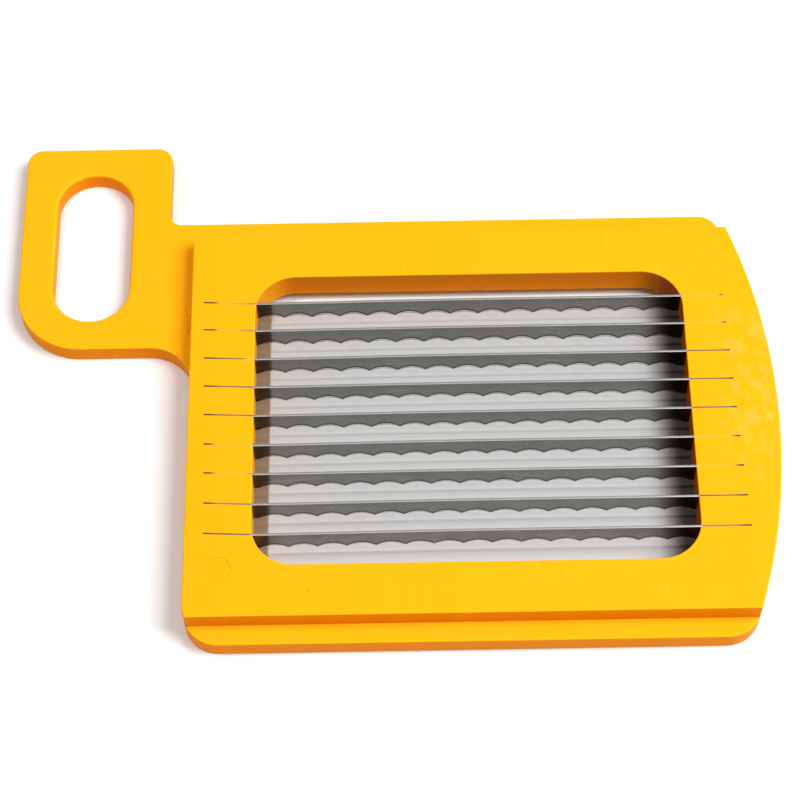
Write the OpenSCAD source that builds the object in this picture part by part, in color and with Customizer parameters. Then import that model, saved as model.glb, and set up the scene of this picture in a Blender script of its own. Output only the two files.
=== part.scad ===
// Blade cassette of a hand egg slicer: a one-piece moulded frame with nine scalloped steel
// blades cast into it. Millimetres. The cassette lies on its rear face with the front face
// up, +X runs along the blades, and the handle stands at the -X, +Y corner. The origin is
// the centre of the cutting window, on the plane that the cassette lies on.

/* [Blades] */
// Distance from one blade to the next
blade_pitch = 6; // [4.5:0.1:7.5]
// Height of a blade, from its spine to its teeth
blade_h = 5; // [3.5:0.1:6]
// Thickness of a blade
blade_t = 0.5; // [0.3:0.05:0.8]
// Length of blade held in the frame at each end
tang_len = 8.7; // [5:0.1:10.5]
// Sideways place of the first blade's middle
first_blade_x = -1; // [-2:0.1:1]
// How much further to the right each blade sits than the one before it
blade_step = 0.15; // [0:0.05:0.25]
// Diameter of the hole near each blade end that the moulding flows through
key_hole_d = 2; // [1:0.1:2.5]

/* [Serration] */
// Distance from one tooth to the next
scallop_pitch = 5.2; // [4:0.1:7]
// Width of the slightly narrower scallop that starts the row
first_scallop = 5; // [1:0.1:6]
// Radius of the grinding wheel's rim
wheel_r = 7.5; // [6:0.1:12]
// Angle between the ground hollow and the blade's side
grind_angle = 21; // [15:1:35]
// Depth of the tooth valleys below the spine, on the ground side
valley_depth = 3.5; // [2.5:0.1:4.2]
// Plain edge left between the serration and the window's left side
plain_end = 0.2; // [0.2:0.1:4]

/* [Cutting window] */
// Length of the window, along the blades
window_len = 79.6; // [60:0.2:100]
// From the first blade to the window's far side
far_gap = 5.5; // [4.5:0.1:8]
// From the last blade to the window's near side
near_gap = 6.1; // [4.5:0.1:8]
// Radius of the window's corners
window_r = 7.5; // [1:0.1:8]

/* [Plate] */
// Thickness of the base plate, its rails and the handle
base_t = 4; // [3:0.1:6]
// Height of the raised plate above the rails
raise_t = 4; // [3:0.1:6]
// From the window's left side to the plate's left side
left_border = 12; // [11:0.1:20]
// From the window's right side to the top of the rounded side
right_border = 15.9; // [14:0.1:24]
// Radius of the rounded side
bulge_r = 124.7; // [95:0.1:300]
// From the window to the raised plate's far and near edges
band_border = 9.85; // [7.5:0.05:16]
// Width of the far rail
far_rail = 5.15; // [3:0.05:8]
// Width of the near rail
near_rail = 3.65; // [3:0.05:8]
// Radius of the two near corners
near_corner_r = 6.2; // [4:0.1:8]
// Radius of the far right corner
far_corner_r = 4; // [2:0.1:6]
// Thickness of plastic left under the blade ends, behind which the rear face is hollowed
tang_skin = 1; // [0.6:0.1:1.4]
// Width of the hollow in the rear face, round the window
hollow_border = 6; // [3:0.1:7]

/* [Handle] */
// Length of the finger hole
finger_len = 33; // [28:0.1:44]
// Width of the finger hole
finger_wid = 14.4; // [12:0.1:20]
// Wall between the finger hole and the handle's outer side
outer_wall = 6.6; // [5:0.1:12]
// Wall between the finger hole and the handle's inner side
inner_wall = 7.35; // [5:0.1:12]
// Wall at each end of the finger hole
end_wall = 6.3; // [5:0.1:12]
// How far the handle rises past the far rail
handle_rise = 18; // [10:0.1:24]
// Gap between the handle's inner side and the plate's left side, past the rail
handle_gap = 5.05; // [4:0.05:12]
// Radius of the handle's two far corners
handle_corner_r = 3; // [1:0.1:5]
// Radius of the handle's near outer corner
thumb_r = 12.4; // [6:0.1:14]
// Fillet where the handle's inner side meets the far rail
rail_fillet_r = 2.3; // [1:0.1:3.5]
// Fillet where the handle's near side meets the plate
root_fillet_r = 8.1; // [3:0.1:12]

/* [Ejector mark] */
// Diameter of the round mark that an ejector pin left in the front face
mark_d = 4.9; // [3:0.1:6]
// Depth of the mark
mark_depth = 0.15; // [0.05:0.05:0.3]
// From the window's left side to the middle of the mark
mark_x = 5.9; // [4:0.1:8]
// From the window's near side to the middle of the mark
mark_y = -0.95; // [-4:0.05:10]

/* [Hidden] */
blade_count = 9;
$fn = 96;
// Overshoot of every cutting shape
over = 1;
// How far a corner circle passes the sides that it rounds, so that it crosses them cleanly
crossing = 0.02;

total_t = base_t + raise_t;
hollow_depth = total_t - blade_h - tang_skin;
blade_len = window_len + 2 * tang_len;

window_wid = (blade_count - 1) * blade_pitch + far_gap + near_gap;
window_x = window_len / 2;
window_y = window_wid / 2;

plate_left = -window_x - left_border;
plate_right = window_x + right_border;
band_y = window_y + band_border;
plate_far = band_y + far_rail;
plate_near = -band_y - near_rail;
bulge_x = plate_right - bulge_r;

handle_right = plate_left - handle_gap;
handle_wid = outer_wall + finger_wid + inner_wall;
handle_left = handle_right - handle_wid;
handle_far = plate_far + handle_rise;
handle_len = finger_len + 2 * end_wall;
handle_near = handle_far - handle_len;
finger_x = handle_left + outer_wall + finger_wid / 2;
finger_y = handle_far - end_wall - finger_len / 2;

// Angle, seen from the bulge's centre, of a corner circle of radius r that touches both
// the bulge and a straight edge at height y
function corner_angle(y, r) = asin((y > 0 ? y - r : y + r) / (bulge_r - r));
// Depth that the wheel must reach to cut a scallop of this width
function wheel_bite(width) = wheel_r - sqrt(wheel_r * wheel_r - width * width / 4);
// Sideways place of the middle of blade i, and its place across the window
function blade_x(i) = first_blade_x + blade_step * (i - 1);
function blade_y(i) = window_y - far_gap - blade_pitch * (i - 1);

// Rectangle from one corner to the other, with all four corners rounded
module round_rect(x0, y0, x1, y1, r) {
    translate([x0 + r, y0]) square([x1 - x0 - 2 * r, y1 - y0]);
    translate([x0, y0 + r]) square([x1 - x0, y1 - y0 - 2 * r]);
    for (x = [x0 + r, x1 - r], y = [y0 + r, y1 - r]) translate([x, y]) circle(r);
}

// What is cut away outside a corner circle, between its two tangent directions
module corner_cut(centre, r, from, to) {
    reach = 2.5 * r;
    difference() {
        translate(centre)
            polygon([[0, 0], for (a = [from, (from + to) / 2, to]) reach * [cos(a), sin(a)]]);
        translate(centre) circle(r + crossing);
    }
}

// Inside fillet in the corner at p; side gives the quadrant that it fills
module inner_fillet(p, r, side) {
    translate(p) scale([side[0], side[1]])
        difference() {
            translate([-over, -over]) square(r + over);
            translate([r, r]) circle(r);
        }
}

// Outline of the plate without the handle
module plate_outline() {
    near_a = corner_angle(plate_near, near_corner_r);
    far_a = corner_angle(plate_far, far_corner_r);
    near_reach = bulge_r - near_corner_r;
    far_reach = bulge_r - far_corner_r;
    difference() {
        intersection() {
            translate([bulge_x, 0]) circle(bulge_r, $fn = 720);
            translate([plate_left, plate_near]) square([plate_right - plate_left, plate_far - plate_near]);
        }
        corner_cut([bulge_x + near_reach * cos(near_a), near_reach * sin(near_a)],
                   near_corner_r, -90, near_a);
        corner_cut([bulge_x + far_reach * cos(far_a), far_reach * sin(far_a)],
                   far_corner_r, far_a, 90);
        corner_cut([plate_left + near_corner_r, plate_near + near_corner_r], near_corner_r, 180, 270);
    }
}

// Outline of the handle, with the neck that joins it to the plate
module handle_outline() {
    difference() {
        translate([handle_left, handle_near]) square([handle_wid, handle_len]);
        corner_cut([handle_left + thumb_r, handle_near + thumb_r], thumb_r, 180, 270);
        corner_cut([handle_left + handle_corner_r, handle_far - handle_corner_r], handle_corner_r, 90, 180);
        corner_cut([handle_right - handle_corner_r, handle_far - handle_corner_r], handle_corner_r, 0, 90);
    }
    translate([handle_right - over, handle_near]) square([handle_gap + 2 * over, plate_far - handle_near]);
    inner_fillet([handle_right, plate_far], rail_fillet_r, [1, 1]);
    inner_fillet([plate_left, handle_near], root_fillet_r, [-1, -1]);
}

module finger_hole() {
    straight = finger_len - finger_wid;
    translate([finger_x, finger_y]) {
        square([finger_wid, straight], center = true);
        for (side = [-1, 1]) translate([0, side * straight / 2]) circle(finger_wid / 2);
    }
}

// Steel strip of a blade before grinding, standing on its lower edge at its real height;
// extra makes it taller, to cut its slot in the moulding
module blade_strip(i, extra = 0) {
    translate([blade_x(i), blade_y(i) + blade_t / 2, total_t - blade_h]) rotate([90, 0, 0])
        linear_extrude(blade_t) difference() {
            translate([-blade_len / 2, 0]) square([blade_len, blade_h + extra]);
            for (side = [-1, 1])
                translate([side * (blade_len - tang_len) / 2, blade_h / 2]) circle(d = key_hole_d, $fn = 48);
        }
}

// One pass of the grinding wheel: a slanted rod that leaves a scallop of the given width.
// Its top line crosses the ground side at the height of the scallop's valley.
module wheel_pass(x, y, width) {
    lift = (wheel_bite(width) - wheel_bite(scallop_pitch)) / sin(grind_angle);
    translate([x, y - blade_t / 2, total_t - valley_depth + lift]) rotate([grind_angle, 0, 0])
        translate([0, -wheel_r, 0]) cylinder(r = wheel_r, h = 4 * blade_h, center = true);
}

module blade(i) {
    start = -window_x + plain_end + blade_step * (i - 1);
    row_start = start + first_scallop;
    scallops = floor((window_len - plain_end - first_scallop) / scallop_pitch);
    color("silver") difference() {
        blade_strip(i);
        wheel_pass(start + first_scallop / 2, blade_y(i), first_scallop);
        for (k = [0:scallops - 1])
            wheel_pass(row_start + scallop_pitch * (k + 0.5), blade_y(i), scallop_pitch);
    }
}

module frame() {
    color("gold") difference() {
        union() {
            linear_extrude(base_t) {
                plate_outline();
                handle_outline();
            }
            linear_extrude(total_t) intersection() {
                plate_outline();
                translate([plate_left, -band_y]) square([plate_right - plate_left, 2 * band_y]);
            }
        }
        translate([0, 0, -over]) linear_extrude(total_t + 2 * over)
            round_rect(-window_x, -window_y, window_x, window_y, window_r);
        translate([0, 0, -over]) linear_extrude(base_t + 2 * over) finger_hole();
        translate([0, 0, -over]) linear_extrude(hollow_depth + over)
            round_rect(-window_x - hollow_border, -window_y - hollow_border,
                       window_x + hollow_border, window_y + hollow_border, window_r + hollow_border);
        translate([-window_x - mark_x, -window_y + mark_y, total_t - mark_depth])
            cylinder(d = mark_d, h = over);
        for (i = [1:blade_count]) blade_strip(i, over);
    }
}

frame();
for (i = [1:blade_count])
    blade(i);
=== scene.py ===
"""Blade cassette of a hand egg slicer: a yellow injection-moulded frame with nine scalloped
steel blades cast into it. It lies on its rear face; +X runs along the blades and the handle is
at the -X, +Y corner. Lengths are written in millimetres and turned into metres where a mesh,
light or camera is made."""
import math

import bmesh
import bpy
import numpy as np
from mathutils import Matrix, Vector
from mathutils.geometry import delaunay_2d_cdt


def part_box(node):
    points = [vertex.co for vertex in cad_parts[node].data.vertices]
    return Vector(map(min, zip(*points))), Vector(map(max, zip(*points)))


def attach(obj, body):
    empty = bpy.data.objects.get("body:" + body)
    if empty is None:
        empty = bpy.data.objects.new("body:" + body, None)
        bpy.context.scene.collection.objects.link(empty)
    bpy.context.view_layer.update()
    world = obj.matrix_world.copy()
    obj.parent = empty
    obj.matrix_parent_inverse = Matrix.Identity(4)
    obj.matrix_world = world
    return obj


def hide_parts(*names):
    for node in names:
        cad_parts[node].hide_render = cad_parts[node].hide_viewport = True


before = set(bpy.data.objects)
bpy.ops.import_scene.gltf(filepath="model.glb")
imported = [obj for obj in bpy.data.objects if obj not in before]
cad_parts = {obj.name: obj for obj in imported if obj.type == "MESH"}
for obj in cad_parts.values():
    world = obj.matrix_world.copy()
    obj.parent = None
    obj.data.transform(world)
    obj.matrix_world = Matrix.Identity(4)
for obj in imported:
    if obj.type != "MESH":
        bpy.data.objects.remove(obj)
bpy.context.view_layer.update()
MM = 0.001

# ---------------------------------------------------------------- sizes, in millimetres
frame_lo, frame_hi = (np.array(corner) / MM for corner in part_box("frame"))
blade_boxes = [[np.array(c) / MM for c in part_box(f"blade_{i}")] for i in range(1, 10)]

FRONT_Z = frame_hi[2]          # the raised plate's front face
RAIL_Z = 4.0                   # the rails and the handle
HOLLOW_Z = 2.0                 # the hollow in the rear face
WINDOW = np.array([39.8, 29.8])
WINDOW_R = 7.5
HOLLOW_BORDER = 6.0
PLATE_LEFT = -51.8
PLATE_NEAR = frame_lo[1]
PLATE_FAR = 44.8
BAND_Y = 39.65                 # half width of the raised plate
BULGE_R = 124.7                # the rounded right side
BULGE_X = frame_hi[0] - BULGE_R
NEAR_CORNER_R = 6.2
FAR_CORNER_R = 4.0
BAND_CORNER_R = 1.4            # the raised plate's corner beside the handle
HANDLE_LEFT = frame_lo[0]
HANDLE_RIGHT = -56.85
HANDLE_FAR = frame_hi[1]
HANDLE_NEAR = 17.2
HANDLE_CORNER_R = 3.0
THUMB_R = 12.4
RAIL_FILLET_R = 2.3
ROOT_FILLET_R = 8.1
FINGER_WID, FINGER_LEN = 14.4, 33.0
FINGER_MIDDLE = np.array([HANDLE_LEFT + 6.6 + FINGER_WID / 2, HANDLE_FAR - 6.3 - FINGER_LEN / 2])
MARK_MIDDLE = np.array([-45.7, -30.75])
MARK_R = 2.45
MARK_DEPTH = 0.15
EDGE_R = 0.35                  # most of the frame's edges
RAIL_R = 0.45                  # the rails' and the handle's front edges
FINGER_EDGE_R = 0.8            # the finger hole's front edge
FOOT_R = 0.3                   # inside fillet at the foot of the raised plate
REAR_R = 0.2                   # edges of the hollow
MARK_EDGE_R = 0.05
FADE = 1.5                     # stretch over which a round runs out into a wall
TANGENT_FADE = 7.0             # the same where the handle's root fillet leaves the raised wall
ROUND_STEPS = np.radians(np.linspace(0, 90, 5))

# ---------------------------------------------------------------- outlines


def arc(centre, r, a0, a1, step=5.0):
    """Points on a circle of radius r about centre, from angle a0 to a1 in degrees."""
    count = max(3, int(abs(a1 - a0) / step) + 1)
    a = np.radians(np.linspace(a0, a1, count))
    return np.asarray(centre, float) + r * np.stack([np.cos(a), np.sin(a)], 1)


def path(*stretches):
    """The stretches one after another, without points that repeat."""
    p = np.concatenate([np.atleast_2d(np.asarray(s, float)) for s in stretches])
    keep = np.r_[True, np.linalg.norm(np.diff(p, axis=0), axis=1) > 1e-4]
    return p[keep]


def line(a, b, fade=FADE):
    """Points on a straight line, close together over the last stretch at either end, where the
    edge rounds run out. The first one clears the mitre of the edge rounds at a corner."""
    a, b = np.asarray(a, float), np.asarray(b, float)
    length = np.linalg.norm(b - a)
    start = FADE * np.array([0, 0.3, 0.45, 0.6, 0.8, 1.0])
    end = fade * np.linspace(1, 0, 11) if fade > FADE else start[::-1]
    along = np.r_[start, np.linspace(start[-1], length - end[0], 9)[1:-1], length - end] / length
    return a + along[:, None] * (b - a)


def round_rect(x0, y0, x1, y1, r):
    """Rectangle with rounded corners, anticlockwise."""
    return path(arc((x1 - r, y0 + r), r, -90, 0), arc((x1 - r, y1 - r), r, 0, 90),
                arc((x0 + r, y1 - r), r, 90, 180), arc((x0 + r, y0 + r), r, 180, 270))


def corner_circle(y, r):
    """Centre and tangent angle of a corner circle that touches the bulge and the edge at height y."""
    cy = y - r if y > 0 else y + r
    angle = math.degrees(math.asin(cy / (BULGE_R - r)))
    return (BULGE_X + (BULGE_R - r) * math.cos(math.radians(angle)), cy), angle


near_c, near_a = corner_circle(PLATE_NEAR, NEAR_CORNER_R)
far_c, far_a = corner_circle(PLATE_FAR, FAR_CORNER_R)
left_c = (PLATE_LEFT + NEAR_CORNER_R, PLATE_NEAR + NEAR_CORNER_R)
split_left = 180 + math.degrees(math.asin((left_c[1] + BAND_Y) / NEAR_CORNER_R))
split_near = math.degrees(math.asin((-BAND_Y - near_c[1]) / NEAR_CORNER_R))
split_far = math.degrees(math.asin(BAND_Y / BULGE_R))

near_side = path(arc(left_c, NEAR_CORNER_R, split_left, 270), arc(near_c, NEAR_CORNER_R, -90, split_near))
right_side = path(arc(near_c, NEAR_CORNER_R, split_near, near_a),
                  arc((BULGE_X, 0), BULGE_R, near_a, split_far, 1.0))
far_side = path(
    arc((BULGE_X, 0), BULGE_R, split_far, far_a, 1.0), arc(far_c, FAR_CORNER_R, far_a, 90),
    arc((HANDLE_RIGHT + RAIL_FILLET_R, PLATE_FAR + RAIL_FILLET_R), RAIL_FILLET_R, 270, 180),
    arc((HANDLE_RIGHT - HANDLE_CORNER_R, HANDLE_FAR - HANDLE_CORNER_R), HANDLE_CORNER_R, 0, 90),
    arc((HANDLE_LEFT + HANDLE_CORNER_R, HANDLE_FAR - HANDLE_CORNER_R), HANDLE_CORNER_R, 90, 180),
    arc((HANDLE_LEFT + THUMB_R, HANDLE_NEAR + THUMB_R), THUMB_R, 180, 270),
    arc((PLATE_LEFT - ROOT_FILLET_R, HANDLE_NEAR - ROOT_FILLET_R), ROOT_FILLET_R, 90, 0))
left_side = path(far_side[-1], arc(left_c, NEAR_CORNER_R, 180, split_left))
band_corner = arc((PLATE_LEFT + BAND_CORNER_R, BAND_Y - BAND_CORNER_R), BAND_CORNER_R, 90, 180, 15)
band_far = path(line(right_side[-1], band_corner[0]), band_corner,
                line(band_corner[-1], far_side[-1], TANGENT_FADE))
band_near = line(near_side[0], near_side[-1])

base_outline = path(near_side, right_side, far_side, left_side)[:-1]
band_outline = path(right_side, band_far, left_side, band_near)[:-1]
window_outline = round_rect(-WINDOW[0], -WINDOW[1], WINDOW[0], WINDOW[1], WINDOW_R)[:-1]
hollow_corner = WINDOW + HOLLOW_BORDER
hollow_outline = round_rect(*-hollow_corner, *hollow_corner, WINDOW_R + HOLLOW_BORDER)[:-1]
finger_r = FINGER_WID / 2
finger_up = np.array([0, (FINGER_LEN - FINGER_WID) / 2])
finger_outline = path(arc(FINGER_MIDDLE + finger_up, finger_r, 0, 180, 6),
                      arc(FINGER_MIDDLE - finger_up, finger_r, 180, 360, 6))
mark_outline = arc(MARK_MIDDLE, MARK_R, 0, 360, 10)[:-1]

# ---------------------------------------------------------------- meshes


def outward(outline):
    """Outward direction at each corner of a closed anticlockwise outline: the mean of its two
    sides' directions, lengthened so that both sides move by the same distance."""
    ahead = np.roll(outline, -1, 0) - outline
    ahead /= np.linalg.norm(ahead, axis=1)[:, None]
    right = np.stack([ahead[:, 1], -ahead[:, 0]], 1)
    mean = right + np.roll(right, 1, 0)
    mean /= np.linalg.norm(mean, axis=1)[:, None]
    return mean / (mean * right).sum(1)[:, None]


def ring(outline, inset, z):
    """The outline moved inwards by inset, which may change from point to point, at height z."""
    moved = outline - np.reshape(inset, (-1, 1)) * outward(outline)
    return np.c_[moved, np.broadcast_to(z, len(outline))]


def low_round(outline, z, r, side=1):
    """Rings of a quarter round of radius r that starts flat at height z and ends upright on the
    outline: inset r(1 - sin a), height z + r(1 - cos a). side -1 turns it outwards."""
    return [ring(outline, side * r * (1 - math.sin(a)), z + r * (1 - math.cos(a))) for a in ROUND_STEPS]


def top_round(outline, z, r, side=1):
    """Rings of a quarter round of radius r that starts upright on the outline and ends flat at
    height z: inset r(1 - cos a), height z - r(1 - sin a). side -1 turns it outwards."""
    return [ring(outline, side * r * (1 - math.cos(a)), z - r * (1 - math.sin(a))) for a in ROUND_STEPS]


def skin(rings, inner=False):
    """Quads from each closed ring to the next. They face out when the rings go up, or inwards,
    into a hole, when inner is set."""
    m, n = len(rings), len(rings[0])
    k, i = np.meshgrid(np.arange(m - 1), np.arange(n), indexing="ij")
    j = (i + 1) % n
    quads = np.stack([k * n + i, k * n + j, (k + 1) * n + j, (k + 1) * n + i], -1).reshape(-1, 4)
    if inner:
        quads = quads[:, ::-1]
    return np.concatenate(rings), quads.tolist()


def fading(outline, stretches, r):
    """Radius r at the outline's points that lie on one of the stretches, and 0 elsewhere. A stretch
    comes with the lengths over which the radius runs out to nothing at its start and its end."""
    radius = np.zeros(len(outline))
    for stretch, start_fade, end_fade in stretches:
        here = np.linalg.norm(outline[:, None] - stretch[None], axis=2).min(1) < 1e-6
        s = np.minimum(np.linalg.norm(outline - stretch[0], axis=1) / start_fade,
                       np.linalg.norm(outline - stretch[-1], axis=1) / end_fade).clip(0, 1)
        radius[here] = (r * s * s * (3 - 2 * s))[here]
    return radius


def within(points, rings):
    """Whether each point is inside an odd number of the rings: counts crossings to its right."""
    inside = np.zeros(len(points), bool)
    for ring in rings:
        a, b = ring, np.roll(ring, -1, axis=0)
        px, py = points[:, :1], points[:, 1:]
        spans = (a[:, 1] > py) != (b[:, 1] > py)
        rise = np.where(a[:, 1] == b[:, 1], 1, b[:, 1] - a[:, 1])
        cross_x = a[:, 0] + (py - a[:, 1]) * (b[:, 0] - a[:, 0]) / rise
        inside ^= (spans & (cross_x > px)).sum(1) % 2 == 1
    return inside


def flat(z, outline, *holes, up=True):
    """Flat face at height z inside an outline and outside its holes, as Delaunay triangles."""
    rings = [np.asarray(r)[:, :2] for r in (outline, *holes)]
    starts = np.cumsum([0] + [len(r) for r in rings])
    edges = [(s + k, s + (k + 1) % len(r)) for s, r in zip(starts, rings) for k in range(len(r))]
    points = [Vector(p) for p in np.concatenate(rings)]
    out, _, faces, *_ = delaunay_2d_cdt(points, edges, [], 0, 1e-6)
    xy = np.array([p[:] for p in out])
    faces = np.array(faces)
    corners = xy[faces]
    faces = faces[within(corners.mean(1), rings)]
    side_a, side_b = xy[faces[:, 1]] - xy[faces[:, 0]], xy[faces[:, 2]] - xy[faces[:, 0]]
    turned = (side_a[:, 0] * side_b[:, 1] - side_a[:, 1] * side_b[:, 0] > 0) != up
    faces[turned] = faces[turned][:, ::-1]
    return np.c_[xy, np.full(len(xy), z)], faces.tolist()


def mesh_object(name, parts):
    """One object from (vertices in mm, faces) parts, with vertices that meet merged."""
    verts, faces, count = [], [], 0
    for v, f in parts:
        verts.append(v)
        faces += [[k + count for k in face] for face in f]
        count += len(v)
    mesh = bpy.data.meshes.new(name)
    mesh.from_pydata((np.concatenate(verts) * MM).tolist(), [], faces)
    bm = bmesh.new()
    bm.from_mesh(mesh)
    bmesh.ops.remove_doubles(bm, verts=bm.verts, dist=1e-6)
    bm.to_mesh(mesh)
    bm.free()
    obj = bpy.data.objects.new(name, mesh)
    bpy.context.scene.collection.objects.link(obj)
    return obj


def moulding():
    """The whole plastic frame. Each wall and edge round is a profile carried round an outline, and
    flat faces close what is left between the last rings."""
    rail = fading(base_outline, [(near_side, FADE, FADE), (far_side, FADE, TANGENT_FADE)], RAIL_R)
    foot = fading(band_outline, [(band_near, FADE, FADE), (band_far, FADE, TANGENT_FADE)], FOOT_R)
    base = low_round(base_outline, 0, EDGE_R) + top_round(base_outline, RAIL_Z, rail)
    band = low_round(band_outline, RAIL_Z, foot, -1) + top_round(band_outline, FRONT_Z, EDGE_R)
    window = low_round(window_outline, HOLLOW_Z, REAR_R, -1) + top_round(window_outline, FRONT_Z, EDGE_R, -1)
    hollow = low_round(hollow_outline, 0, REAR_R, -1) + top_round(hollow_outline, HOLLOW_Z, FOOT_R)
    finger = low_round(finger_outline, 0, EDGE_R, -1) + top_round(finger_outline, RAIL_Z, FINGER_EDGE_R, -1)
    mark_floor = FRONT_Z - MARK_DEPTH
    mark = low_round(mark_outline, mark_floor, MARK_EDGE_R)
    mark += top_round(mark_outline, FRONT_Z, MARK_EDGE_R, -1)

    def stretch(rings, outline, part):
        """The last or first ring's points that belong to one stretch of its outline, in order."""
        near = np.linalg.norm(part[:, None] - outline[None], axis=2).argmin(1)
        return rings[near][:, :2]

    near_rail = stretch(base[-1], base_outline, near_side)
    far_rail = stretch(base[-1], base_outline, far_side)
    near_foot = stretch(band[0], band_outline, band_near)
    far_foot = stretch(band[0], band_outline, band_far)
    obj = mesh_object("moulded_frame", [
        skin(base), skin(band), skin(window, True), skin(hollow, True), skin(finger, True), skin(mark, True),
        flat(FRONT_Z, band[-1], window[-1], mark[-1]),
        flat(mark_floor, mark[0]),
        flat(RAIL_Z, path(near_rail, near_foot[::-1])[:-1]),
        flat(RAIL_Z, path(far_rail, far_foot[::-1])[:-1], finger[-1]),
        flat(0, base[0], hollow[0], finger[0], up=False),
        flat(HOLLOW_Z, hollow[-1], window[0], up=False),
    ])
    obj.data.shade_smooth()
    obj.data.set_sharp_from_angle(angle=math.radians(50))
    normals = obj.modifiers.new("flat_shading", "WEIGHTED_NORMAL")
    normals.keep_sharp = True
    normals.weight = 100
    return obj


GATE_PLACE = np.array([-52.75, 22.2])   # torn gate, against the raised plate's left wall
GATE_SIZE = np.array([0.85, 1.9, 0.55])


def gate_stub():
    """The torn end of the moulding's gate: a low dome whose rim radius 1 + 0.2 sin(3u + 1) +
    0.13 sin(7u) and height cos(v) (1 + 0.4 sin(5u + 6v)) are uneven, with its rim sunk in the face."""
    u, v = np.meshgrid(np.linspace(0, 2 * np.pi, 49)[:-1], np.linspace(0, np.pi / 2, 13)[:-1], indexing="ij")
    rim = (1 + 0.2 * np.sin(3 * u + 1) + 0.13 * np.sin(7 * u)) * np.cos(v)
    height = np.sin(v) * (1 + 0.4 * np.sin(5 * u + 6 * v) * np.cos(v))
    x = GATE_PLACE[0] + GATE_SIZE[0] * rim * np.cos(u)
    y = GATE_PLACE[1] + GATE_SIZE[1] * rim * np.sin(u)
    z = RAIL_Z - 0.1 + GATE_SIZE[2] * height
    points = np.stack([x, y, z], -1)
    n, m = u.shape
    i, j = np.meshgrid(np.arange(n), np.arange(m - 1), indexing="ij")
    k = (i + 1) % n
    quads = np.stack([i * m + j, k * m + j, k * m + j + 1, i * m + j + 1], -1).reshape(-1, 4)
    caps = [[r * m for r in range(n)][::-1], [r * m + m - 1 for r in range(n)]]
    obj = mesh_object("gate_stub", [(points.reshape(-1, 3), quads.tolist() + caps)])
    obj.data.shade_smooth()
    return obj


# Blade sizes
BLADE_T = 0.5
SCALLOP_PITCH = 5.2
FIRST_SCALLOP = 5.0
WHEEL_R = 7.5
GRIND = math.radians(21)
VALLEY_DEPTH = 3.5
PLAIN_END = 0.2
BLADE_STEP = 0.15
SPINE_PROUD = 0.012
BOW = 0.25                     # how far a blade bows to the near side at the window's left side
BOW_REACH = 24.0
TIP_SPRING = 0.38              # how far its left tip springs back to the far side
SPINE_R = 0.13
LIP = 0.9                      # height of the dark strip painted above each scallop's arc
COLUMNS = 26                   # grid columns in each scallop


def mark_ground_faces(obj):
    """Face attribute "ground": 1 on the scallops' hollows, which slope by the grinding angle, and
    0 on the upright sides and the level spine."""
    n = len(obj.data.polygons)
    normals = np.empty(n * 3)
    obj.data.polygons.foreach_get("normal", normals)
    tilt = np.abs(normals.reshape(n, 3)[:, 2])
    ground = ((tilt > 0.1) & (tilt < 0.6)).astype(np.float32)
    obj.data.attributes.new("ground", "FLOAT", "FACE").data.foreach_set("value", ground)


def mark_heights(obj, x, z_top, z_low):
    """Point attribute "across": from 0 at a scallop's arc up to 1 at LIP above it, and down to -1
    at the cutting edge."""
    n = len(obj.data.vertices)
    co = np.empty(n * 3)
    obj.data.vertices.foreach_get("co", co)
    co = co.reshape(n, 3) / MM
    arc_z, edge_z = np.interp(co[:, 0], x, z_top), np.interp(co[:, 0], x, z_low)
    above = co[:, 2] - arc_z
    across = np.where(above >= 0, above / LIP, above / (arc_z - edge_z)).clip(-1, 1)
    obj.data.attributes.new("across", "FLOAT", "POINT").data.foreach_set("value", across.astype(np.float32))


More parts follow.
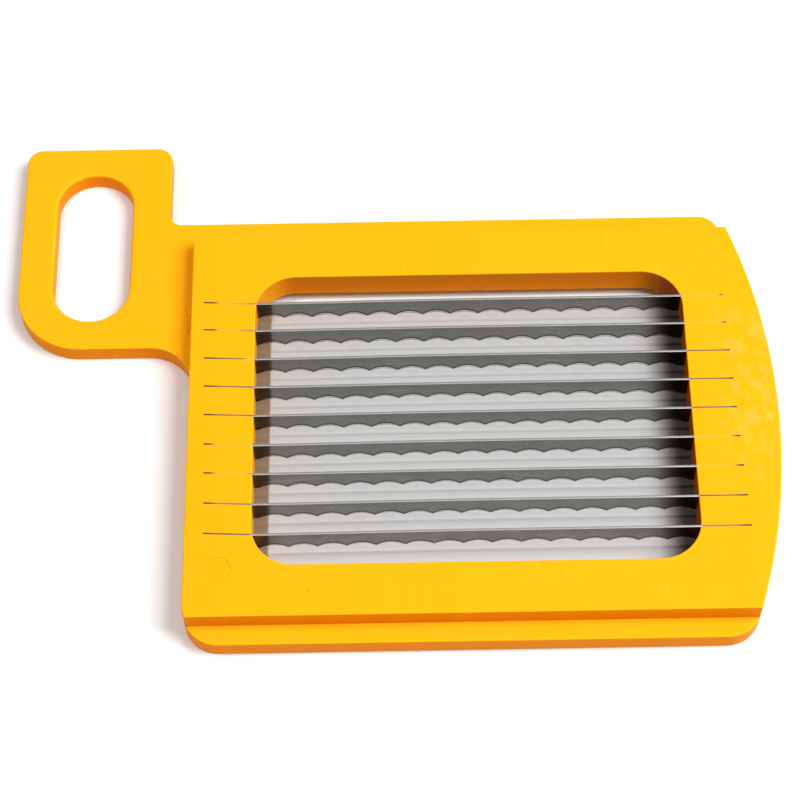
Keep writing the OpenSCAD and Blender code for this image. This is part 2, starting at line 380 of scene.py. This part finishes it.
def blade(index):
    """One blade. Its cross-section is carried along x on a grid: round the spine, down the plain
    side, across the lower edge, up the ground hollow to where it leaves the side, and back up.
    The hollow starts at height z_top(x) = valley - (wheel sagitta at x) / sin(grind) and runs in
    at the grinding angle until it meets the other side or the strip's lower edge. The blade bows
    sideways by a bell curve about the window's left side, and its left tip springs back."""
    lo, hi = blade_boxes[index - 1]
    y = (lo[1] + hi[1]) / 2
    start = -WINDOW[0] + PLAIN_END + BLADE_STEP * (index - 1)
    row = start + FIRST_SCALLOP
    count = int((2 * WINDOW[0] - PLAIN_END - FIRST_SCALLOP) / SCALLOP_PITCH)
    ends = [start, row, *(row + SCALLOP_PITCH * np.arange(1, count + 1))]
    x = np.concatenate([np.linspace(lo[0], start, 24)[:-1],
                        *[np.linspace(a, b, COLUMNS + 1)[:-1] for a, b in zip(ends, ends[1:])],
                        np.linspace(ends[-1], hi[0], 12)])
    bite = WHEEL_R - math.sqrt(WHEEL_R ** 2 - SCALLOP_PITCH ** 2 / 4)
    cusp = hi[2] - VALLEY_DEPTH - bite / math.sin(GRIND)
    k = np.clip(np.searchsorted(ends, x, "right") - 1, 0, len(ends) - 2)
    left, right = np.array(ends)[k], np.array(ends)[k + 1]
    inside = (x >= ends[0]) & (x <= ends[-1])
    half = (right - left) / 2
    off_middle = x - (left + right) / 2
    rise = np.sqrt(np.clip(WHEEL_R ** 2 - off_middle ** 2, 0, None)) - np.sqrt(WHEEL_R ** 2 - half ** 2)
    z_top = np.where(inside, cusp + rise / math.sin(GRIND), lo[2])
    z_low = np.maximum(lo[2], z_top - BLADE_T / math.tan(GRIND))
    z_top = np.maximum(z_top, lo[2] + 1e-3)
    z_low = np.minimum(z_low, z_top - 5e-4)
    top = hi[2] + SPINE_PROUD
    h = BLADE_T / 2
    front, back = -h, h
    one = np.ones_like(x)
    ring = []
    for a in np.radians([180, 150, 120, 90]):
        ring.append((front + SPINE_R + SPINE_R * math.cos(a), top - SPINE_R + SPINE_R * math.sin(a)))
    for a in np.radians([90, 60, 30, 0]):
        ring.append((back - SPINE_R + SPINE_R * math.cos(a), top - SPINE_R + SPINE_R * math.sin(a)))
    rows = [(one * py, one * pz) for py, pz in ring]
    rows += [(one * back, top + (z_low - top) * s) for s in (0.35, 0.7, 1.0)]
    tip = np.minimum(front + (z_top - z_low) * math.tan(GRIND), back - 0.01)
    rows += [(tip + (front - tip) * s, z_low + (z_top - z_low) * s) for s in (0.0, 0.2, 0.4, 0.6, 0.8, 1.0)]
    rows.append((one * front, z_top + LIP))
    rows += [(one * front, z_top + LIP + (top - SPINE_R - z_top - LIP) * s) for s in (0.4, 0.7)]
    sag = BOW * (1 + 0.25 * math.sin(2.4 * index)) * np.exp(-(((x + WINDOW[0]) / BOW_REACH) ** 2))
    spring = TIP_SPRING * np.clip((-x - WINDOW[0]) / (-WINDOW[0] - lo[0]), 0, 1)
    grid = np.stack([np.stack([x, y + py - sag + spring, pz], 1) for py, pz in rows])
    m, n = grid.shape[:2]
    i, j = np.meshgrid(np.arange(m), np.arange(n - 1), indexing="ij")
    nxt = (i + 1) % m
    quads = np.stack([i * n + j, i * n + j + 1, nxt * n + j + 1, nxt * n + j], -1).reshape(-1, 4)
    caps = [[r * n for r in range(m)], [r * n + n - 1 for r in range(m)][::-1]]
    obj = mesh_object(f"steel_blade_{index}", [(grid.reshape(-1, 3), quads.tolist() + caps)])
    mark_ground_faces(obj)
    mark_heights(obj, x, z_top, z_low)
    bm = bmesh.new()
    bm.from_mesh(obj.data)
    bmesh.ops.recalc_face_normals(bm, faces=bm.faces)
    bm.to_mesh(obj.data)
    bm.free()
    obj.data.shade_smooth()
    obj.data.set_sharp_from_angle(angle=math.radians(14))
    return obj


# ---------------------------------------------------------------- materials


class Nodes:
    """Short calls for the shader nodes that these materials use."""

    def __init__(self, tree):
        self.tree = tree

    def add(self, kind, **settings):
        node = self.tree.nodes.new("ShaderNode" + kind)
        for name, value in settings.items():
            setattr(node, name, value)
        return node

    def put(self, socket, value):
        if isinstance(value, bpy.types.NodeSocket):
            self.tree.links.new(value, socket)
        else:
            socket.default_value = value

    def math(self, operation, a, b=0.0):
        node = self.add("Math", operation=operation)
        self.put(node.inputs[0], a)
        self.put(node.inputs[1], b)
        return node.outputs[0]

    def smooth(self, value, low, high):
        """0 below low, 1 above high, and a smooth step between; low may be the larger one."""
        node = self.add("MapRange", interpolation_type="SMOOTHSTEP")
        swapped = low > high
        self.put(node.inputs[0], value)
        self.put(node.inputs[1], high if swapped else low)
        self.put(node.inputs[2], low if swapped else high)
        self.put(node.inputs[3], 1.0 if swapped else 0.0)
        self.put(node.inputs[4], 0.0 if swapped else 1.0)
        return node.outputs[0]

    def blend(self, share, a, b):
        """Colour a where share is 0 and b where it is 1."""
        node = self.add("Mix", data_type="RGBA", clamp_factor=True)
        self.put(node.inputs["Factor"], share)
        self.put(node.inputs[6], a)
        self.put(node.inputs[7], b)
        return node.outputs[2]

    def number(self, share, a, b):
        """Number a where share is 0 and b where it is 1."""
        node = self.add("Mix", data_type="FLOAT", clamp_factor=True)
        self.put(node.inputs["Factor"], share)
        self.put(node.inputs[2], a)
        self.put(node.inputs[3], b)
        return node.outputs[0]

    def mapped(self, vector, scale=(1, 1, 1), turn=0.0, place=(0, 0, 0)):
        node = self.add("Mapping")
        self.put(node.inputs["Vector"], vector)
        node.inputs["Location"].default_value = place
        node.inputs["Rotation"].default_value = (0, 0, math.radians(turn))
        node.inputs["Scale"].default_value = scale
        return node.outputs[0]

    def noise(self, vector, scale, detail=2.0):
        node = self.add("TexNoise")
        self.put(node.inputs["Vector"], vector)
        node.inputs["Scale"].default_value = scale
        node.inputs["Detail"].default_value = detail
        return node.outputs[0]

    def joined(self, x, y, z):
        node = self.add("CombineXYZ")
        for socket, value in zip(node.inputs, (x, y, z)):
            self.put(socket, value)
        return node.outputs[0]

    def parts(self, vector):
        node = self.add("SeparateXYZ")
        self.put(node.inputs[0], vector)
        return node.outputs

    def bump(self, height, depth, normal=None):
        """Normal tilted by a height of 0 to 1 that is worth depth metres."""
        node = self.add("Bump")
        node.inputs["Strength"].default_value = 1.0
        node.inputs["Distance"].default_value = depth
        self.put(node.inputs["Height"], height)
        if normal is not None:
            self.put(node.inputs["Normal"], normal)
        return node.outputs[0]

    def group(self, tree, **values):
        node = self.add("Group")
        node.node_tree = tree
        for name, value in values.items():
            self.put(node.inputs[name], value)
        return node.outputs[0]


def new_group(name, numbers):
    """Node group with a Vector input, the named number inputs and one output, Mask."""
    tree = bpy.data.node_groups.new(name, "ShaderNodeTree")
    tree.interface.new_socket("Vector", in_out="INPUT", socket_type="NodeSocketVector")
    for number in numbers:
        tree.interface.new_socket(number, in_out="INPUT", socket_type="NodeSocketFloat")
    tree.interface.new_socket("Mask", in_out="OUTPUT", socket_type="NodeSocketFloat")
    n = Nodes(tree)
    given = tree.nodes.new("NodeGroupInput").outputs
    return tree, n, given, tree.nodes.new("NodeGroupOutput").inputs["Mask"]


def hairline_scratches():
    """Thin broken lines in three directions: where stretched noise passes through one half."""
    tree, n, given, mask = new_group("hairline_scratches", ["Width"])
    total = 0.0
    for turn, place in ((12, 0.0), (71, 3.1), (-38, 7.4)):
        along = n.mapped(given["Vector"], (260, 16, 16), turn, (place, place, 0))
        off = n.math("ABSOLUTE", n.math("SUBTRACT", n.noise(along, 1.0, 1.0), 0.5))
        line_mask = n.math("SUBTRACT", 1.0, n.math("MINIMUM", n.math("DIVIDE", off, given["Width"]), 1.0))
        broken = n.smooth(n.noise(n.mapped(given["Vector"], place=(place, 0, 0)), 90.0), 0.53, 0.66)
        total = n.math("MAXIMUM", total, n.math("MULTIPLY", line_mask, broken))
    n.put(mask, total)
    return tree


def handling_smudges():
    """Soft cloudy patches left by handling, with a finer breakup inside them."""
    tree, n, given, mask = new_group("handling_smudges", ["Size"])
    scale = n.math("DIVIDE", 1.0, given["Size"])
    node = n.add("VectorMath", operation="SCALE")
    n.put(node.inputs[0], given["Vector"])
    n.put(node.inputs["Scale"], scale)
    cloud = n.smooth(n.noise(node.outputs[0], 1.0, 3.0), 0.42, 0.68)
    fine = n.noise(node.outputs[0], 7.0, 3.0)
    n.put(mask, n.math("MULTIPLY", cloud, fine))
    return tree


def scattered_specks():
    """Round specks in a few of the cells that the space is divided into."""
    tree, n, given, mask = new_group("scattered_specks", ["Size", "Share"])
    node = n.add("VectorMath", operation="SCALE")
    n.put(node.inputs[0], given["Vector"])
    n.put(node.inputs["Scale"], n.math("DIVIDE", 1.0, given["Size"]))
    cells = n.add("TexVoronoi")
    n.put(cells.inputs["Vector"], node.outputs[0])
    cells.inputs["Scale"].default_value = 0.12
    chosen = n.math("LESS_THAN", n.parts(cells.outputs["Color"])[0], given["Share"])
    dot = n.smooth(cells.outputs["Distance"], 0.10, 0.05)
    n.put(mask, n.math("MULTIPLY", dot, chosen))
    return tree


# Linear colours
FACE_DEEP, FACE_PALE = (0.90, 0.372, 0.004, 1), (0.94, 0.400, 0.007, 1)
# Walls: painted shade, a deeper orange than the face, painted lighter inside the window; painted light in
# the window's left corners and painted shade at its right end
WALL_SHADE_OUTER, WALL_SHADE_WINDOW = (0.84, 0.245, 0.001, 1), (0.99, 0.265, 0.001, 1)
WALL_PAINTED_LIGHT, WALL_PAINTED_SHADE_END = (1.0, 0.36, 0.002, 1), (0.40, 0.080, 0.001, 1)
# Painted highlight along the rounded edges, and a painted glare patch right of the window
PAINTED_EDGE_HIGHLIGHT, PAINTED_GLARE = (0.98, 0.50, 0.012, 1), (0.98, 0.50, 0.10, 1)
FINE_SCRATCH, DARK_SPECK = (0.98, 0.52, 0.04, 1), (0.50, 0.14, 0.003, 1)
STEEL_DARK, STEEL_LIGHT = (0.165, 0.169, 0.158, 1), (0.245, 0.248, 0.232, 1)
GROUND_DARK, GROUND_LIGHT = (0.80, 0.80, 0.79, 1), (0.96, 0.96, 0.95, 1)
# Painted shade in brown on the blades at both ends of the window
END_SHADE_DARK, END_SHADE_BROWN = (0.026, 0.011, 0.003, 1), (0.085, 0.042, 0.016, 1)
STAIN_DARK, STAIN_TAN = (0.035, 0.018, 0.008, 1), (0.36, 0.22, 0.09, 1)
BOARD_LIGHT, BOARD_DARK = (0.84, 0.84, 0.84, 1), (0.81, 0.81, 0.81, 1)
# Painted shade on the floor under the window, with painted shadows at its ends
FLOOR_SHADE_GREY, FLOOR_SHADOW_TAN, FLOOR_SHADOW_DARK = (0.55, 0.55, 0.545, 1), (0.32, 0.23, 0.15, 1), (0.05, 0.033, 0.027, 1)

# Stretches of x, in metres, over which painted shade or painted light comes in
END_SHADE_LEFT, END_SHADE_RIGHT = (-0.0366, -0.0370), (0.0310, 0.0378)
PAINTED_LIGHT_LEFT, PAINTED_SHADE_RIGHT = (-0.0330, -0.0365), (0.0310, 0.0385)
FLOOR_SHADOW_LEFT, FLOOR_SHADOW_RIGHT = (-0.0371, -0.0375), (0.0325, 0.0385)


def new_material(name):
    """Material with a Principled shader; returns it, its nodes, the shader's inputs and the
    object coordinates in metres."""
    material = bpy.data.materials.new(name)
    material.use_nodes = True
    material.node_tree.nodes.clear()
    n = Nodes(material.node_tree)
    shader = n.add("BsdfPrincipled")
    n.tree.links.new(shader.outputs[0], n.add("OutputMaterial").inputs[0])
    coordinates = n.add("TexCoord")
    return material, n, shader.inputs, coordinates


def plastic_material():
    """Pigmented plastic: yellow where it faces front or back, and a deeper orange, painted shade, in
    its walls, which are painted lighter inside the window, with painted light in its left corners and
    painted shade at its right end. A painted highlight along the rounded edges and a painted glare
    patch right of the window, with flow marks, smudges, scratches and specks."""
    material, n, shader, coordinates = new_material("yellow_moulded_plastic")
    place = coordinates.outputs["Object"]
    x, y = n.parts(place)[:2]
    facing = n.math("ABSOLUTE", n.parts(coordinates.outputs["Normal"])[2])
    wall_share = n.smooth(facing, 0.75, 0.1)
    # the rounds between face and walls, which carry a painted highlight
    edge_highlight = n.math("MULTIPLY", n.smooth(facing, 0.995, 0.9), n.smooth(facing, 0.35, 0.8))
    flow = n.noise(n.mapped(place, (60, 14, 60), 20), 1.0, 3.0)
    smudge = n.group(smudges, Vector=place, Size=0.011)
    scratch = n.group(scratches, Vector=place, Width=0.012)
    speck = n.group(specks, Vector=place, Size=0.0009, Share=0.10)
    # painted highlight: a pale, rougher glare patch on the face right of the window, where a lamp is
    # reflected
    off_middle = n.math("ABSOLUTE", n.math("SUBTRACT", y, 0.005))
    glare_zone = n.math("MULTIPLY", n.smooth(x, 0.041, 0.051), n.smooth(off_middle, 0.026, 0.004))
    glare_cloud = n.noise(n.mapped(place, (520, 330, 400)), 1.0, 5.0)
    glare_patch = n.math("MULTIPLY", glare_zone, n.smooth(glare_cloud, 0.42, 0.72))
    face = n.blend(flow, FACE_DEEP, FACE_PALE)
    in_window = n.math("MULTIPLY", n.math("LESS_THAN", n.math("ABSOLUTE", x), (WINDOW[0] + EDGE_R) * MM),
                       n.math("LESS_THAN", n.math("ABSOLUTE", y), (WINDOW[1] + EDGE_R) * MM))
    # painted shade: the walls a deeper orange than the faces, painted lighter inside the window
    wall = n.blend(in_window, WALL_SHADE_OUTER, WALL_SHADE_WINDOW)
    # painted light: the window's walls lighter towards its left corners
    wall = n.blend(n.math("MULTIPLY", in_window, n.smooth(x, *PAINTED_LIGHT_LEFT)), wall, WALL_PAINTED_LIGHT)
    # painted shade: the window's walls darker towards its right end
    wall = n.blend(n.math("MULTIPLY", in_window, n.smooth(x, *PAINTED_SHADE_RIGHT)), wall, WALL_PAINTED_SHADE_END)
    colour = n.blend(wall_share, face, wall)
    # painted highlight: the rounded edges paler, where they catch the light
    colour = n.blend(n.math("MULTIPLY", edge_highlight, 0.55), colour, PAINTED_EDGE_HIGHLIGHT)
    # painted glare patch right of the window
    colour = n.blend(n.math("MULTIPLY", glare_patch, 0.42), colour, PAINTED_GLARE)
    colour = n.blend(n.math("MULTIPLY", scratch, 0.12), colour, FINE_SCRATCH)
    colour = n.blend(n.math("MULTIPLY", speck, 0.5), colour, DARK_SPECK)
    n.put(shader["Base Color"], colour)
    rough = n.number(smudge, 0.30, 0.46)
    rough = n.number(scratch, rough, 0.55)
    n.put(shader["Roughness"], n.number(glare_patch, rough, 0.6))
    shader["IOR"].default_value = 1.49
    shader["Specular IOR Level"].default_value = 0.02
    sink = n.bump(n.noise(n.mapped(place, (70, 70, 70)), 1.0, 2.0), 0.00022)
    grain = n.bump(n.noise(place, 2600.0, 2.0), 0.000006, sink)
    n.put(shader["Normal"], n.bump(n.math("SUBTRACT", 1.0, scratch), 0.00001, grain))
    return material


def steel_material():
    """Cold-rolled strip: grain along the blade, bright wheel marks across the ground hollows with
    a dark line above and below them, a lighter, rougher spine, painted shade in brown at both ends
    of the window, and in the moulded ends a dark spine with plastic flash creeping over it."""
    material, n, shader, coordinates = new_material("ground_strip_steel")
    place = coordinates.outputs["Object"]
    x, y, z = n.parts(place)
    ground = n.add("Attribute", attribute_name="ground").outputs["Fac"]
    tang = n.smooth(n.math("ABSOLUTE", x), WINDOW[0] * MM, (WINDOW[0] + 0.3) * MM)
    spine = n.smooth(z, (FRONT_Z - 0.08) * MM, (FRONT_Z - 0.02) * MM)
    rolled = n.noise(n.mapped(place, (50, 50, 2500)), 1.0, 3.0)
    wheel = n.noise(n.mapped(place, (2600, 200, 200)), 1.0, 2.0)
    smudge = n.group(smudges, Vector=place, Size=0.006)
    scratch = n.group(scratches, Vector=n.joined(z, x, y), Width=0.02)
    skin = n.noise(n.mapped(place, (220, 700, 220)), 1.0, 3.0)
    across = n.add("Attribute", attribute_name="across").outputs["Fac"]
    front = n.smooth(n.parts(coordinates.outputs["Normal"])[1], -0.3, -0.8)
    lip = n.math("MULTIPLY", n.smooth(across, 0.85, 0.35), n.smooth(across, -0.02, 0.0))
    lip = n.math("MULTIPLY", lip, front)
    tooth = n.math("MULTIPLY", ground, n.smooth(across, -0.42, -0.58))
    body = n.blend(rolled, STEEL_DARK, STEEL_LIGHT)
    body = n.blend(n.math("MULTIPLY", smudge, 0.5), body, (0.18, 0.16, 0.13, 1))
    # a dark strip along each scallop's arc
    body = n.blend(n.math("MULTIPLY", lip, 0.85), body, (0.05, 0.035, 0.025, 1))
    # painted shade: the blades darkened to brown near both ends of the window, where its walls shade them
    end_shade_left = n.smooth(x, *END_SHADE_LEFT)
    end_shade_right = n.smooth(x, *END_SHADE_RIGHT)
    scale = n.math("MAXIMUM", n.math("MULTIPLY", end_shade_left, 0.78), n.math("MULTIPLY", end_shade_right, 0.92))
    bright = n.blend(wheel, GROUND_DARK, GROUND_LIGHT)
    bright = n.blend(n.math("MULTIPLY", tooth, 0.88), bright, (0.16, 0.14, 0.125, 1))
    colour = n.blend(ground, body, bright)
    # painted shade at the window's ends, mottled with noise
    colour = n.blend(scale, colour, n.blend(skin, END_SHADE_DARK, END_SHADE_BROWN))
    colour = n.blend(spine, colour, (0.42, 0.42, 0.41, 1))
    colour = n.blend(n.math("MULTIPLY", scratch, 0.15), colour, (0.7, 0.7, 0.7, 1))
    row = n.noise(n.mapped(place, (0, 700, 0), place=(0.37, 0, 0)), 1.0, 0.0)
    creep = n.noise(n.mapped(place, (110, 700, 0)), 1.0, 3.0)
    tip = n.smooth(n.math("ABSOLUTE", x), 0.0458, 0.0478)
    flash = n.smooth(n.math("ADD", n.math("MULTIPLY", row, 0.9), n.math("MULTIPLY", creep, 0.6)), 0.72, 0.86)
    flash = n.math("MULTIPLY", flash, n.math("SUBTRACT", 1.0, tip))
    stained = n.blend(creep, STAIN_DARK, STAIN_TAN)
    stained = n.blend(tip, stained, (0.05, 0.025, 0.01, 1))
    covered = n.blend(flash, stained, (0.91, 0.37, 0.004, 1))
    n.put(shader["Base Color"], n.blend(tang, colour, covered))
    n.put(shader["Metallic"], n.math("SUBTRACT", 1.0, tang))
    rough = n.number(n.math("MAXIMUM", ground, spine), n.number(smudge, 0.24, 0.40), 0.40)
    n.put(shader["Roughness"], n.number(tang, rough, 0.5))
    grain = n.bump(n.number(ground, rolled, wheel), 0.000012)
    n.put(shader["Normal"], n.bump(n.math("SUBTRACT", 1.0, scratch), 0.000005, grain))
    return material


def floor_material():
    """Matt white board with a faint mottle, and under the window painted shade in grey, with a tan
    painted shadow at its left end and a dark painted shadow at its right."""
    material, n, shader, coordinates = new_material("pale_floor")
    place = coordinates.outputs["Object"]
    mottle = n.group(smudges, Vector=place, Size=0.05)
    x, y = n.parts(place)[:2]
    # painted shade: a grey patch on the floor under the window
    window_shade = n.math("MULTIPLY", n.smooth(n.math("ABSOLUTE", x), 0.047, 0.043),
                 n.math("MULTIPLY", n.smooth(y, -0.037, -0.033), n.smooth(y, 0.028, 0.0265)))
    board = n.blend(mottle, BOARD_LIGHT, BOARD_DARK)
    # painted shadows of the window's end walls: tan at the left, dark at the right
    shade_colour = n.blend(n.smooth(x, *FLOOR_SHADOW_LEFT), FLOOR_SHADE_GREY, FLOOR_SHADOW_TAN)
    shade_colour = n.blend(n.math("MULTIPLY", n.smooth(x, *FLOOR_SHADOW_RIGHT), 0.93), shade_colour, FLOOR_SHADOW_DARK)
    n.put(shader["Base Color"], n.blend(window_shade, board, shade_colour))
    n.put(shader["Roughness"], n.number(mottle, 0.7, 0.6))
    shader["Specular IOR Level"].default_value = 0.06
    return material


# ---------------------------------------------------------------- stage, camera, light


LAMP_DISTANCE = 0.9
CAMERA_DISTANCE = 0.426


def camera():
    """Long lens, tilted almost straight down the handle's side of the plate and rolled a degree."""
    aim = Vector((-13.13, 2.84, FRONT_Z)) * MM
    elevation, turn, roll = math.radians(60.51), math.radians(0.04), math.radians(-0.98)
    back = Vector((math.sin(turn) * math.cos(elevation), -math.cos(turn) * math.cos(elevation),
                   math.sin(elevation)))
    across = (-back).cross(Vector((0, 0, 1))).normalized()
    up = back.cross(across)
    right = math.cos(roll) * across + math.sin(roll) * up
    over = math.cos(roll) * up - math.sin(roll) * across
    data = bpy.data.cameras.new("camera")
    data.lens = 105.17
    data.sensor_width = 36
    obj = bpy.data.objects.new("camera", data)
    place = Matrix((right, over, back)).transposed().to_4x4()
    place.translation = aim + back * CAMERA_DISTANCE
    obj.matrix_world = place
    bpy.context.scene.collection.objects.link(obj)
    bpy.context.scene.camera = obj


def area_light(name, towards, size, power):
    """Rectangular lamp LAMP_DISTANCE metres from the origin, facing it."""
    data = bpy.data.lights.new(name, "AREA")
    data.shape = "RECTANGLE"
    data.size, data.size_y = size
    data.energy = power
    obj = bpy.data.objects.new(name, data)
    direction = Vector(towards).normalized()
    obj.location = direction * LAMP_DISTANCE
    obj.rotation_euler = direction.to_track_quat("Z", "Y").to_euler()
    bpy.context.scene.collection.objects.link(obj)


def stage():
    mesh = bpy.data.meshes.new("floor")
    s = 3.0
    mesh.from_pydata([(-s, -s, 0), (s, -s, 0), (s, s, 0), (-s, s, 0)], [], [(0, 1, 2, 3)])
    floor = bpy.data.objects.new("floor", mesh)
    bpy.context.scene.collection.objects.link(floor)
    mesh.materials.append(floor_material())
    world = bpy.data.worlds.new("soft_room")
    bpy.context.scene.world = world
    world.use_nodes = True
    world.node_tree.nodes["Background"].inputs[0].default_value = (1, 1, 1, 1)
    world.node_tree.nodes["Background"].inputs[1].default_value = 0.40
    area_light("right_softbox", (0.66, -0.05, 1.0), (0.50, 0.55), 9.2)
    area_light("left_lamp", (-0.36, 0.0, 1.0), (0.05, 0.05), 2.2)
    view = bpy.context.scene.view_settings
    view.view_transform = "Standard"
    view.look = "None"


scratches = hairline_scratches()
smudges = handling_smudges()
specks = scattered_specks()
plastic = plastic_material()
steel = steel_material()
body = moulding()
body.data.materials.append(plastic)
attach(body, "root")
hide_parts("frame")
gate = gate_stub()
gate.data.materials.append(plastic)
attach(gate, "root")
for index in range(1, 10):
    piece = blade(index)
    piece.data.materials.append(steel)
    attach(piece, "root")
    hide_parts(f"blade_{index}")
camera()
stage()
